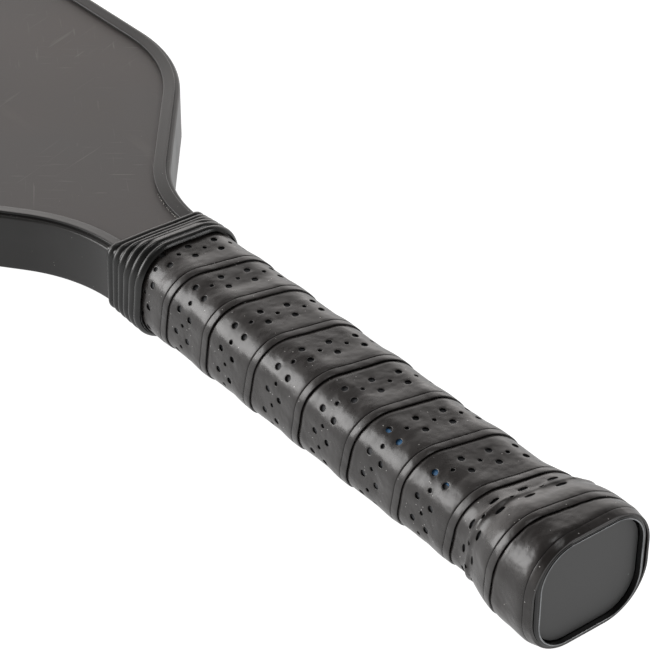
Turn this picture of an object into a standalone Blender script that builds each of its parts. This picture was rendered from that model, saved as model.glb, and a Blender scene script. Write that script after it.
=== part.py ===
"""Racket-sports paddle: a flat honeycomb panel with an edge guard, a taped grip and a capped butt.

The paddle lies flat. +Y runs from the butt to the head, +X is across it and +Z is the upper face.
The origin is the middle of the paddle's box. Lengths are in metres.
"""

from math import atan2, ceil, cos, pi, radians, sin, sqrt, tan

import bmesh
import bpy
from mathutils import Vector

# Overall size.
LENGTH = 0.420
HEAD_HALF_WIDTH = 0.075
NECK_HALF_WIDTH = 0.0169
BUTT_Y = -LENGTH / 2
GAP = 0.0003

# Outline of the head, from the neck upwards. Heights are counted from the butt.
THROAT_ANGLE = radians(38.3)
THROAT_Y = 0.2147
THROAT_RADIUS = 0.055
SHOULDER_RADIUS = 0.075
CORNER_RADIUS = 0.045
END_RADIUS = 0.230
ARC_STEP = radians(6.5)

# Panel layers, as half thicknesses from the middle plane.
CORE_HALF = 0.0070
FILM_THICKNESS = 0.00025
SHEET_THICKNESS = 0.00075
PANEL_HALF = CORE_HALF + 2 * GAP + FILM_THICKNESS + SHEET_THICKNESS

# Honeycomb cells.
CELL_PITCH = 0.0160
CELL_WALL = 0.0012
CELL_MARGIN = 0.0020

# Edge guard.
GUARD_HALF = 0.01005
GUARD_WALL = 0.0020
GUARD_LIP = 0.0058
GUARD_START = 0.1868
GUARD_TAPE = 0.0003

# Handle, over the outside of the grip. Depths are counted inwards from it.
GRIP_HALF_WIDTH = 0.0175
GRIP_HALF_BUTT = 0.0142
GRIP_HALF_NECK = 0.0154
GRIP_CORNER = 0.0110
GRIP_START = 0.0016
UNDERLAY_START = 0.0050
GRIP_END = 0.1820
WRAP_DEPTH = (0.0, 0.0010)
BACKING_DEPTH = (0.0013, 0.0021)
TAPE_DEPTH = (0.0024, 0.0027)
PALLET_DEPTH = 0.0030
TONGUE_HALF_WIDTH = 0.0100
TONGUE_START = 0.0060
TONGUE_STEP = 0.0030

# Flare over the butt cap.
FLARE = 0.0038
FLARE_FULL = 0.0120
FLARE_END = 0.0340
FLARE_RINGS = 5
SKIRT_WALL = 0.0012

# Butt cap and plate.
RIM_HALF_WIDTH = 0.0200
RIM_HALF = 0.0174
RIM_CORNER = 0.0125
RIM_DEPTH = 0.0013
RIM_ROUND = 0.0008
FLANGE_DEPTH = 0.0013
FLANGE_END = 0.0046
PLATE_HALF_WIDTH = 0.0177
PLATE_HALF = 0.0159
PLATE_CORNER = 0.0105
PLATE_RECESS = 0.0017
PLATE_THICKNESS = 0.0010
PAD_THICKNESS = 0.00025
CAP_FLOOR = (0.0036, 0.0052)

# Staples that hold the cap on the handle.
STAPLE_Y = 0.0160
STAPLE_X = 0.0050
STAPLE_HALF_CROWN = 0.0028
STAPLE_WIRE = 0.0006
STAPLE_LEG_END = 0.0096
STAPLE_SINK = 0.0003
STAPLE_OPEN = 0.0020

# Collar over the neck.
COLLAR_BUTT = 0.1785
COLLAR_HEAD = 0.1980
COLLAR_RIBS = 6
COLLAR_RIB_HEIGHT = 0.0004
FINISH_START = 0.1796
FINISH_END = 0.1816
FINISH_THICKNESS = 0.0003

SECTION_STEPS = 6


def clear_scene():
    """Remove whatever the scene holds."""
    for item in list(bpy.data.objects):
        bpy.data.objects.remove(item, do_unlink=True)


def new_collection(name):
    """Return a new collection linked to the scene."""
    group = bpy.data.collections.new(name)
    bpy.context.scene.collection.children.link(group)
    return group


def material(name, colour, roughness, metallic=0.0):
    """Return a Principled material."""
    mat = bpy.data.materials.new(name)
    mat.use_nodes = True
    shader = mat.node_tree.nodes["Principled BSDF"]
    shader.inputs["Base Color"].default_value = (*colour, 1.0)
    shader.inputs["Roughness"].default_value = roughness
    shader.inputs["Metallic"].default_value = metallic
    return mat


def finish(item, group, mat, sharp_degrees=35):
    """Put an object in its collection with its material and smooth shading."""
    group.objects.link(item)
    item.data.materials.clear()
    item.data.materials.append(mat)
    item.data.shade_smooth()
    item.data.set_sharp_from_angle(angle=radians(sharp_degrees))
    return item


def hide_cutter(item, group):
    """Keep a cutter out of sight in its own collection."""
    group.objects.link(item)
    item.hide_render = True
    item.display_type = "WIRE"
    return item


def cut(item, cutter):
    """Take the cutter away from an object."""
    boolean = item.modifiers.new("cut_" + cutter.name, "BOOLEAN")
    boolean.operation = "DIFFERENCE"
    boolean.solver = "EXACT"
    boolean.object = cutter


def poly_curve(name, points, closed):
    """Return a curve data block of one straight-segment spline through (x, y) points."""
    curve = bpy.data.curves.new(name, "CURVE")
    spline = curve.splines.new("POLY")
    spline.points.add(len(points) - 1)
    for slot, (x, y) in zip(spline.points, points):
        slot.co = (x, y, 0.0, 1.0)
    spline.use_cyclic_u = closed
    return curve


def mesh_of_curve(name, curve_object):
    """Turn a curve object into a welded mesh object and remove the curve."""
    holder = bpy.context.scene.collection
    holder.objects.link(curve_object)
    bpy.context.view_layer.update()
    evaluated = curve_object.evaluated_get(bpy.context.evaluated_depsgraph_get())
    mesh = bpy.data.meshes.new_from_object(evaluated)
    work = bmesh.new()
    work.from_mesh(mesh)
    bmesh.ops.remove_doubles(work, verts=work.verts, dist=1e-6)
    bmesh.ops.recalc_face_normals(work, faces=work.faces)
    work.to_mesh(mesh)
    work.free()
    item = bpy.data.objects.new(name, mesh)
    item.matrix_world = curve_object.matrix_world
    bpy.data.objects.remove(curve_object, do_unlink=True)
    return item


def plate_from_outline(name, points, low, high, along="Z"):
    """Return a flat plate of the closed outline between two levels along an axis."""
    curve = poly_curve(name, points, True)
    curve.dimensions = "2D"
    curve.fill_mode = "BOTH"
    curve.extrude = (high - low) / 2
    item = bpy.data.objects.new(name + "_outline", curve)
    middle = (high + low) / 2
    if along == "Z":
        item.location = (0.0, 0.0, middle)
    else:
        item.location = (0.0, middle, 0.0)
        item.rotation_euler = (pi / 2, 0.0, 0.0)
    return mesh_of_curve(name, item)


def sweep(name, path, section):
    """Return a closed section swept along an open (x, y) path."""
    profile = bpy.data.objects.new(name + "_section", poly_curve(name + "_section", section, True))
    bpy.context.scene.collection.objects.link(profile)
    profile.data.dimensions = "2D"
    curve = poly_curve(name, path, False)
    curve.dimensions = "3D"
    curve.twist_mode = "Z_UP"
    curve.bevel_mode = "OBJECT"
    curve.bevel_object = profile
    curve.use_fill_caps = True
    item = mesh_of_curve(name, bpy.data.objects.new(name + "_path", curve))
    bpy.data.objects.remove(profile, do_unlink=True)
    return item


# Outline of the head


def arc_points(centre, radius, start, end, outward):
    """Points on an arc with their outward normals; outward is -1 on a concave stretch."""
    count = max(2, ceil(abs(end - start) / ARC_STEP))
    points = []
    for index in range(count + 1):
        angle = start + (end - start) * index / count
        normal = (cos(angle), sin(angle))
        place = (centre[0] + radius * normal[0], centre[1] + radius * normal[1])
        points.append((place, (outward * normal[0], outward * normal[1])))
    return points


def half_outline(bottom):
    """The right half of the outline from the neck to the middle of the head end."""
    slope = tan(THROAT_ANGLE)
    half_turn = tan(THROAT_ANGLE / 2)
    shoulder_y = THROAT_Y + (HEAD_HALF_WIDTH - NECK_HALF_WIDTH) / slope
    throat = (NECK_HALF_WIDTH + THROAT_RADIUS, THROAT_Y - THROAT_RADIUS * half_turn)
    shoulder = (HEAD_HALF_WIDTH - SHOULDER_RADIUS, shoulder_y + SHOULDER_RADIUS * half_turn)
    end = (0.0, LENGTH - END_RADIUS)
    inset = HEAD_HALF_WIDTH - CORNER_RADIUS
    rise = sqrt((END_RADIUS - CORNER_RADIUS) ** 2 - inset ** 2)
    corner = (inset, end[1] + rise)
    corner_turn = atan2(rise, inset)
    points = [((NECK_HALF_WIDTH, bottom), (1.0, 0.0))]
    points += arc_points(throat, THROAT_RADIUS, pi, pi - THROAT_ANGLE, -1)
    points += arc_points(shoulder, SHOULDER_RADIUS, -THROAT_ANGLE, 0.0, 1)
    points += arc_points(corner, CORNER_RADIUS, 0.0, corner_turn, 1)
    points += arc_points(end, END_RADIUS, corner_turn, pi / 2, 1)[1:]
    return points


def head_outline(inset, bottom=GUARD_START):
    """The outline moved inwards, right neck to left neck, in the paddle's own frame."""
    right = []
    for (x, y), (nx, ny) in half_outline(bottom):
        right.append((x - inset * nx, y - inset * ny + BUTT_Y))
    left = [(-x, y) for x, y in reversed(right[:-1])]
    return right + left


def panel_outline(inset, tongue_inset=0.0):
    """The head and its tongue as one closed outline."""
    half = TONGUE_HALF_WIDTH - tongue_inset
    start = BUTT_Y + TONGUE_START
    step = BUTT_Y + GUARD_START - TONGUE_STEP
    tongue = [(-half, step), (-half, start), (half, start), (half, step)]
    return head_outline(inset) + tongue


def inside(point, outline):
    """True where a point is inside a closed outline."""
    x, y = point
    result = False
    for (x0, y0), (x1, y1) in zip(outline, outline[1:] + outline[:1]):
        if (y0 > y) != (y1 > y) and x < x0 + (x1 - x0) * (y - y0) / (y1 - y0):
            result = not result
    return result


# Sections of the handle


def rounded_section(half_width, half_height, corner):
    """Points of a rounded rectangle, with the same count at any size."""
    points = []
    for quarter in range(4):
        side_x = 1 if quarter in (0, 3) else -1
        side_z = 1 if quarter in (0, 1) else -1
        for step in range(SECTION_STEPS + 1):
            angle = (quarter + step / SECTION_STEPS) * pi / 2
            x = side_x * (half_width - corner) + corner * cos(angle)
            z = side_z * (half_height - corner) + corner * sin(angle)
            points.append((x, z))
    return points


def flare_at(y):
    """How far the handle's surface stands out over the butt cap."""
    share = min(1.0, max(0.0, (FLARE_END - y) / (FLARE_END - FLARE_FULL)))
    return FLARE * share * share * (3 - 2 * share)


def handle_size(y, depth):
    """Half width, half height and corner radius of the handle at a depth under its surface."""
    share = y / GRIP_END
    height = GRIP_HALF_BUTT + (GRIP_HALF_NECK - GRIP_HALF_BUTT) * share
    grow = flare_at(y) - depth
    return GRIP_HALF_WIDTH + grow, height + grow, GRIP_CORNER + grow


def handle_stations(start, end):
    """Heights at which a sleeve over the flare has a ring."""
    spread = (FLARE_END - FLARE_FULL) / FLARE_RINGS
    flare = [FLARE_FULL + spread * index for index in range(FLARE_RINGS + 1)]
    return [start] + [y for y in flare if start < y < end] + [end]


def add_ring(work, y, size):
    """Add one rounded section as a ring of vertices."""
    return [work.verts.new((x, y + BUTT_Y, z)) for x, z in rounded_section(*size)]


def bridge(work, first, second):
    """Join two rings of the same count with quads."""
    count = len(first)
    for index in range(count):
        after = (index + 1) % count
        work.faces.new((first[index], first[after], second[after], second[index]))


def loft(name, outer, inner=None):
    """A solid through (y, size) sections, or a tube when inner sections are given."""
    work = bmesh.new()
    rings = [add_ring(work, y, size) for y, size in outer]
    if inner:
        rings += [add_ring(work, y, size) for y, size in reversed(inner)]
        rings.append(rings[0])
    for first, second in zip(rings, rings[1:]):
        bridge(work, first, second)
    if not inner:
        work.faces.new(rings[0])
        work.faces.new(rings[-1])
    bmesh.ops.recalc_face_normals(work, faces=work.faces)
    mesh = bpy.data.meshes.new(name)
    work.to_mesh(mesh)
    work.free()
    return bpy.data.objects.new(name, mesh)


def sleeve(name, depth, start, end):
    """A tube that follows the handle between two depths under its surface."""
    stations = handle_stations(start, end)
    outer = [(y, handle_size(y, depth[0])) for y in stations]
    inner = [(y, handle_size(y, depth[1])) for y in stations]
    return loft(name, outer, inner)


# Panel


def honeycomb_cutter():
    """All the cells as hexagonal prisms in one mesh."""
    outline = panel_outline(GUARD_WALL + GUARD_TAPE + 2 * GAP)
    radius = (CELL_PITCH - CELL_WALL) / sqrt(3)
    reach = radius + CELL_MARGIN
    row_pitch = CELL_PITCH * sqrt(3) / 2
    rows = ceil(LENGTH / row_pitch / 2)
    columns = ceil(HEAD_HALF_WIDTH / CELL_PITCH) + 1
    work = bmesh.new()
    for row in range(-rows, rows + 1):
        for column in range(-columns, columns + 1):
            centre = ((column + (row % 2) / 2) * CELL_PITCH, row * row_pitch)
            ring = [(centre[0] + reach * cos(k * pi / 6), centre[1] + reach * sin(k * pi / 6))
                    for k in range(12)]
            if all(inside(point, outline) for point in ring):
                prism = bmesh.ops.create_cone(
                    work, cap_ends=True, segments=6, radius1=radius, radius2=radius,
                    depth=4 * CORE_HALF)
                bmesh.ops.translate(work, verts=prism["verts"], vec=Vector((*centre, 0.0)))
    mesh = bpy.data.meshes.new("cell_cutter")
    work.to_mesh(mesh)
    work.free()
    return bpy.data.objects.new("cell_cutter", mesh)


def build_panel(parts, cutters):
    """The honeycomb core, the two bond films and the two face sheets."""
    core_inset = GUARD_WALL + GUARD_TAPE + 2 * GAP
    core = plate_from_outline("honeycomb_core", panel_outline(core_inset), -CORE_HALF, CORE_HALF)
    finish(core, parts, material("core_polypropylene", (0.78, 0.78, 0.74), 0.55))
    cut(core, hide_cutter(honeycomb_cutter(), cutters))
    film_mat = material("bond_film", (0.20, 0.24, 0.22), 0.40)
    sheet_mat = material("face_carbon", (0.105, 0.100, 0.096), 0.62)
    film_low = CORE_HALF + GAP
    sheet_low = film_low + FILM_THICKNESS + GAP
    sheet_inset = GUARD_WALL + GAP
    for side, sign in (("upper", 1), ("lower", -1)):
        film_levels = sorted((sign * film_low, sign * (film_low + FILM_THICKNESS)))
        film = plate_from_outline(side + "_bond_film", panel_outline(core_inset), *film_levels)
        finish(film, parts, film_mat.copy())
        sheet_levels = sorted((sign * sheet_low, sign * (sheet_low + SHEET_THICKNESS)))
        sheet = plate_from_outline(side + "_face_sheet", panel_outline(sheet_inset), *sheet_levels)
        finish(sheet, parts, sheet_mat.copy())


def guard_section():
    """The guard's U section: x runs inwards from the outline, y is up."""
    lip = PANEL_HALF + GAP
    edge = 0.0006
    upper = [
        (GUARD_WALL, lip), (GUARD_LIP, lip), (GUARD_LIP, GUARD_HALF - edge),
        (GUARD_LIP - edge, GUARD_HALF), (edge, GUARD_HALF), (0.0, GUARD_HALF - edge),
    ]
    lower = [(x, -z) for x, z in reversed(upper)]
    return upper + lower


def build_guard(parts):
    """The edge guard and the tape that sticks it to the panel's edge."""
    path = head_outline(0.0)[::-1]
    guard = sweep("edge_guard", path, guard_section())
    finish(guard, parts, material("guard_tpu", (0.060, 0.058, 0.056), 0.42))
    low = GUARD_WALL + GAP
    high = low + GUARD_TAPE
    half = CORE_HALF - 0.0005
    strip = [(low, half), (high, half), (high, -half), (low, -half)]
    tape = sweep("edge_guard_tape", path, strip)
    finish(tape, parts, material("edge_tape", (0.55, 0.52, 0.46), 0.70))


# Handle


def pallet_cutters(cutters):
    """The slot for the panel's tongue, and the space of the opposite pallet."""
    reach = LENGTH / 2
    slot_half = TONGUE_HALF_WIDTH + GAP
    slot_level = PANEL_HALF + GAP
    box = [(-slot_half, -reach), (slot_half, -reach), (slot_half, reach), (-slot_half, reach)]
    slot = plate_from_outline("tongue_slot_cutter", box, -slot_level, slot_level)
    wide = [(-reach, -reach), (reach, -reach), (reach, reach), (-reach, reach)]
    below = plate_from_outline("below_cutter", wide, -reach, GAP / 2)
    above = plate_from_outline("above_cutter", wide, -GAP / 2, reach)
    return [hide_cutter(item, cutters) for item in (slot, below, above)]


def pallet_block(name):
    """The rounded handle block, stepped in at the butt for the cap's skirt."""
    step = FLARE_END + GAP
    inner = [(y, cap_size(y, SKIRT_WALL + GAP)) for y in (TONGUE_START, step)]
    outer = [(y, handle_size(y, PALLET_DEPTH)) for y in (step + 0.0002, GRIP_END)]
    return loft(name, inner + outer)


def build_pallets(parts, cutters):
    """Two moulded half shells that fill the handle around the tongue."""
    slot, below, above = pallet_cutters(cutters)
    mat = material("pallet_foam", (0.42, 0.40, 0.36), 0.80)
    pallets = []
    for side, other in (("upper", below), ("lower", above)):
        pallet = pallet_block(side + "_handle_pallet")
        finish(pallet, parts, mat.copy())
        cut(pallet, slot)
        cut(pallet, other)
        pallets.append(pallet)
    return pallets


def cap_size(y, inset):
    """The straight butt end of the handle blocks, without the flare."""
    width, height, corner = handle_size(y, PALLET_DEPTH + inset)
    flare = flare_at(y)
    return width - flare, height - flare, corner - flare


def rim_size(inset):
    """The cap's rim moved inwards."""
    return RIM_HALF_WIDTH - inset, RIM_HALF - inset, RIM_CORNER - inset


def build_cap(parts, cutters):
    """The butt cap: a rim, a floor and a skirt over the pallets."""
    flange_start = RIM_DEPTH + 0.0001
    skirt_start = FLANGE_END + 0.0001
    outer = [
        (0.0, rim_size(RIM_ROUND)), (RIM_ROUND * 0.3, rim_size(RIM_ROUND * 0.3)),
        (RIM_ROUND, rim_size(0.0)), (RIM_DEPTH - RIM_ROUND / 2, rim_size(0.0)),
        (RIM_DEPTH, rim_size(RIM_ROUND / 2)),
    ]
    outer += [(y, handle_size(y, FLANGE_DEPTH)) for y in (flange_start, FLANGE_END)]
    outer += [(y, handle_size(y, PALLET_DEPTH)) for y in handle_stations(skirt_start, FLARE_END)]
    cap = loft("butt_cap", outer)
    finish(cap, parts, material("cap_plastic", (0.028, 0.028, 0.028), 0.22))
    beyond = FLARE_END + 0.0050
    cavity = loft("cap_cavity_cutter", [(y, cap_size(y, SKIRT_WALL)) for y in (CAP_FLOOR[1], beyond)])
    recess_size = (PLATE_HALF_WIDTH, PLATE_HALF, PLATE_CORNER)
    recess = loft("plate_recess_cutter", [(-0.0050, recess_size), (CAP_FLOOR[0], recess_size)])
    cut(cap, hide_cutter(cavity, cutters))
    cut(cap, hide_cutter(recess, cutters))
    return cap


def build_plate(parts):
    """The flat plate in the cap's recess and its adhesive pad."""
    size = (PLATE_HALF_WIDTH - GAP, PLATE_HALF - GAP, PLATE_CORNER - GAP)
    plate_back = PLATE_RECESS + PLATE_THICKNESS
    plate = loft("butt_plate", [(PLATE_RECESS, size), (plate_back, size)])
    finish(plate, parts, material("plate_plastic", (0.090, 0.092, 0.094), 0.55))
    pad_size = tuple(value - 0.0010 for value in size)
    pad_start = plate_back + GAP
    pad = loft("butt_plate_pad", [(pad_start, pad_size), (pad_start + PAD_THICKNESS, pad_size)])
    finish(pad, parts, material("pad_adhesive", (0.80, 0.78, 0.70), 0.60))


def staple_outline(centre_x, sign, top, crown, leg_end, clearance):
    """A staple seen along the handle, as a crown with two legs, grown by a clearance."""
    half = STAPLE_HALF_CROWN + clearance
    inner = STAPLE_HALF_CROWN - STAPLE_WIRE - clearance
    low = leg_end - clearance
    under = crown - clearance
    shape = [
        (-half, top), (half, top), (half, low), (inner, low),
        (inner, under), (-inner, under), (-inner, low), (-half, low),
    ]
    return [(centre_x + x, sign * z) for x, z in shape]


def build_staples(parts, cutters, cap, pallets):
    """Four staples through the cap's skirt into the pallets, two above and two below."""
    mat = material("staple_steel", (0.60, 0.60, 0.58), 0.35, 1.0)
    middle = BUTT_Y + STAPLE_Y
    surface = handle_size(STAPLE_Y, PALLET_DEPTH)[1]
    top = surface - STAPLE_SINK
    crown = top - STAPLE_WIRE
    open_top = surface + STAPLE_OPEN
    half = STAPLE_WIRE / 2
    number = 0
    for sign, pallet in zip((1, -1), pallets):
        for side in (-1, 1):
            number += 1
            name = "butt_cap_staple_%d" % number
            centre = side * STAPLE_X
            shape = staple_outline(centre, sign, top, crown, STAPLE_LEG_END, 0.0)
            staple = plate_from_outline(name, shape, middle - half, middle + half, "Y")
            finish(staple, parts, mat.copy())
            hole = staple_outline(centre, sign, open_top, crown, STAPLE_LEG_END, GAP)
            cutter = plate_from_outline(
                name + "_cutter", hole, middle - half - GAP, middle + half + GAP, "Y")
            hide_cutter(cutter, cutters)
            cut(cap, cutter)
            cut(pallet, cutter)


def build_grip(parts):
    """The handle tape, the grip's backing, the wrap and its finishing tape."""
    sleeves = (
        ("handle_tape", TAPE_DEPTH, UNDERLAY_START, material("tape_film", (0.10, 0.22, 0.42), 0.35)),
        ("grip_backing", BACKING_DEPTH, UNDERLAY_START,
         material("backing_felt", (0.035, 0.035, 0.037), 0.90)),
        ("grip_wrap", WRAP_DEPTH, GRIP_START,
         material("wrap_leatherette", (0.058, 0.055, 0.053), 0.45)),
    )
    for name, depth, start, mat in sleeves:
        finish(sleeve(name, depth, start, GRIP_END), parts, mat)
    depth = (-GAP - FINISH_THICKNESS, -GAP)
    finishing = sleeve("finishing_tape", depth, FINISH_START, FINISH_END)
    finish(finishing, parts, material("finishing_vinyl", (0.020, 0.020, 0.020), 0.35))


# Collar


def blend(first, second, share):
    """Blend two section sizes."""
    return tuple(a + (b - a) * share for a, b in zip(first, second))


def collar_sizes(grip_size, head_size, bend_start, bend_end, steps):
    """Sections that hug the grip, then run down on to the neck."""
    sizes = [(COLLAR_BUTT, grip_size)]
    for index in range(steps + 1):
        share = index / steps
        y = bend_start + (bend_end - bend_start) * share
        sizes.append((y, blend(grip_size, head_size, share)))
    return sizes


def build_collar(parts):
    """The stretched rubber collar, ribbed round its outside."""
    width, height, corner = handle_size(COLLAR_BUTT, -GAP - FINISH_THICKNESS - GAP)
    inner_grip = (width, height, corner)
    inner_head = (NECK_HALF_WIDTH + GAP, GUARD_HALF + GAP, 0.0006)
    inner = collar_sizes(inner_grip, inner_head, FINISH_END + GAP, COLLAR_HEAD, 3)
    outer_grip = tuple(value + 0.0009 for value in inner_grip)
    outer_head = (NECK_HALF_WIDTH + 0.0014, GUARD_HALF + 0.0015, 0.0025)
    outer = []
    count = COLLAR_RIBS * 2
    for index in range(count + 1):
        y = COLLAR_BUTT + (COLLAR_HEAD - COLLAR_BUTT) * index / count
        share = max(0.0, (y - FINISH_END - 0.0010) / (COLLAR_HEAD - FINISH_END - 0.0010))
        rib = COLLAR_RIB_HEIGHT if index % 2 else 0.0
        size = blend(outer_grip, outer_head, share)
        outer.append((y, tuple(value + rib for value in size)))
    collar = loft("rubber_collar", outer, inner)
    finish(collar, parts, material("collar_rubber", (0.050, 0.052, 0.050), 0.50), 20)


def main():
    """Build the whole paddle."""
    clear_scene()
    parts = new_collection("pickleball_paddle")
    cutters = new_collection("cutters")
    build_panel(parts, cutters)
    build_guard(parts)
    pallets = build_pallets(parts, cutters)
    cap = build_cap(parts, cutters)
    build_plate(parts)
    build_staples(parts, cutters, cap, pallets)
    build_grip(parts)
    build_collar(parts)


main()
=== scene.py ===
"""Looks for the paddle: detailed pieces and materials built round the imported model.

Lengths are in metres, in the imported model's frame: +Y runs from the butt to the head, +X is across
and +Z is up. Heights along the paddle are counted from the butt's front plane.
"""

from math import atan2, ceil, cos, pi, radians, sin, sqrt, tan

import bmesh
import bpy
import numpy as np
from mathutils import Matrix, Vector, noise


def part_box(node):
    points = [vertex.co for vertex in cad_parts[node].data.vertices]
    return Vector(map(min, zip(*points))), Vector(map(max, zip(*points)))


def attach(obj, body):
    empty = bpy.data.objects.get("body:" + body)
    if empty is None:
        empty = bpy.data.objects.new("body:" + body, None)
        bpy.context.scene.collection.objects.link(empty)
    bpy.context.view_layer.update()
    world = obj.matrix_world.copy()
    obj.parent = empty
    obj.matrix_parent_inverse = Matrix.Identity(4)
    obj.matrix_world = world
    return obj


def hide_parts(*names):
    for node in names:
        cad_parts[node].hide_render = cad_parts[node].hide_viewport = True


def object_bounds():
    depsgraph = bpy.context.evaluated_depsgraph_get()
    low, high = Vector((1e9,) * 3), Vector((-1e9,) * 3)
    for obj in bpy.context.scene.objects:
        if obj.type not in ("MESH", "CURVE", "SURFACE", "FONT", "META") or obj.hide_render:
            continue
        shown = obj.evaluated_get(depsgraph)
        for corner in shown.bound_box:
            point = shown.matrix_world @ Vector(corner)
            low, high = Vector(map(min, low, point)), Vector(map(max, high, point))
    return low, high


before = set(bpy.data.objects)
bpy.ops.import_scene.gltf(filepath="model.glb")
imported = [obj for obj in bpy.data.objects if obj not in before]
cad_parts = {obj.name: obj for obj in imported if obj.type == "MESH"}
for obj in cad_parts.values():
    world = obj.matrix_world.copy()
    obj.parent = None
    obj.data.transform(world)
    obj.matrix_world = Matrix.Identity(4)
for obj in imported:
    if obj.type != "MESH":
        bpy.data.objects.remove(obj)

CAD_BOX = [list(corner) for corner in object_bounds()]

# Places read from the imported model.
BUTT_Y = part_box("butt_cap")[0][1]
LENGTH = CAD_BOX[1][1] - CAD_BOX[0][1]
HEAD_HALF_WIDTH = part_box("edge_guard")[1][0]
GUARD_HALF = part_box("edge_guard")[1][2]
GUARD_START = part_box("edge_guard")[0][1] - BUTT_Y
SHEET_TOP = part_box("upper_face_sheet")[1][2]
COLLAR_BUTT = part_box("rubber_collar")[0][1] - BUTT_Y
COLLAR_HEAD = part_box("rubber_collar")[1][1] - BUTT_Y
FLARED_HALF_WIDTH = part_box("grip_wrap")[1][0]
RIM_HALF_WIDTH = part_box("butt_cap")[1][0]
RIM_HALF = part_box("butt_cap")[1][2]
PLATE_HALF_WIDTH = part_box("butt_plate")[1][0]
PLATE_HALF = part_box("butt_plate")[1][2]
PLATE_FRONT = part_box("butt_plate")[0][1] - BUTT_Y
WRAP_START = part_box("grip_wrap")[0][1] - BUTT_Y - 0.0011

# Outline of the head.
NECK_HALF_WIDTH = 0.0169
THROAT_ANGLE = radians(38.3)
THROAT_Y = 0.2147
THROAT_RADIUS = 0.055
SHOULDER_RADIUS = 0.075
CORNER_RADIUS = 0.045
END_RADIUS = 0.230
ARC_STEP = radians(2.0)
STRAIGHT_STEP = 0.004

# Handle under its wrap.
GRIP_HALF_WIDTH = 0.0175
GRIP_HALF_BUTT = 0.0142
GRIP_HALF_NECK = 0.0154
GRIP_CORNER = 0.0110
GRIP_END = 0.182
FLARE = FLARED_HALF_WIDTH - GRIP_HALF_WIDTH
FLARE_FULL = 0.0120
FLARE_END = 0.0340

# Wrap: heights of the tape's butt-side edge after so many turns, a quarter being the upper side.
EDGE_TURNS = (0.25, 1.00, 1.25, 1.50, 1.64, 2.00, 2.25, 3.25, 4.25, 5.25, 6.25, 7.25, 8.25, 9.25)
EDGE_HEIGHTS = (-0.0080, 0.0036, 0.0107, 0.0155, 0.0172, 0.0238, 0.0296,
                0.0511, 0.0729, 0.0951, 0.1179, 0.1406, 0.1607, 0.1820)
WRAP_GIRTH = 0.1103
TAPE_WIDTH = 0.0255
TAPE_SLOPE = radians(11.5)
TAPE_THICKNESS = 0.00045
TAPE_START_TURN = 0.8885
HOLE_PERIOD = 0.008504
HOLE_RADIUS = 0.00100
SMALL_HOLE_RADIUS = 0.00066
WRAP_STOP = 0.1812
WRAP_LAST_TURN = 9.35
TAPE_EDGE_LINES = [0.0, 0.00006, 0.00018, 0.0010, 0.0022, 0.00242, 0.00249, 0.00255, 0.00261,
                   0.00268, 0.0030]
HOLE_ROWS = (0.0099, 0.0127, 0.0155)
HOLE_BLOCK_HALF = 0.0019
SMALL_HOLE_BLOCK_HALF = 0.0009

# Felt and film close under the tape, as depths from the handle's surface.
FELT_START = 0.0052
FELT_DEPTHS = (0.00072, 0.0020)
LINER_DEPTHS = (0.00060, 0.00067)
LINER_HEIGHTS = (0.040, 0.072)
LINER_REACH = (0.0112, 0.0141)

# Edge guard and the glue that shows beside it.
LIP_WIDTH = 0.0058
GUARD_CORNER = 0.00080
GLUE_END = 0.216
GLUE_SIDES = 8

# Collar.
COLLAR_RIBS = 6
RIB_HEIGHT = 0.00115
RIB_SINK = 0.00090
CROWDING = 0.0021
CROWDED_TURN = 0.62
CROWDED_SPREAD = 0.20

# Softboxes: name, place, size and power.
SOFTBOXES = (
    ("side_softbox", (-1.75, 1.70, 0.80), 1.5, 36.0),
    ("top_softbox", (0.1, 0.4, 2.4), 0.8, 4.5),
    ("front_softbox", (1.35, -1.40, 1.65), 0.8, 9.0),
)

# Camera, fitted to the outlines of the handle, the wrap's seams, the guard and the butt.
CAMERA_AIM = Vector((0.0189, -0.0744, 0.0))
CAMERA_DISTANCE = 0.6883
CAMERA_AZIMUTH = radians(-38.18)
CAMERA_ELEVATION = radians(33.84)
CAMERA_ROLL = radians(0.25)
CAMERA_LENS = 127.2


# Objects and materials


def add_object(name, mesh, mat, sharp_degrees=40):
    """Link a mesh as a smooth-shaded piece that rides with the paddle."""
    item = bpy.data.objects.new(name, mesh)
    bpy.context.scene.collection.objects.link(item)
    mesh.materials.append(mat)
    mesh.shade_smooth()
    mesh.set_sharp_from_angle(angle=radians(sharp_degrees))
    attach(item, "root")
    return item


def mesh_from(name, verts, faces):
    """Make a mesh from vertices and faces."""
    mesh = bpy.data.meshes.new(name)
    mesh.from_pydata([tuple(map(float, v)) for v in verts], [], faces)
    mesh.validate()
    mesh.update()
    return mesh


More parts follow.
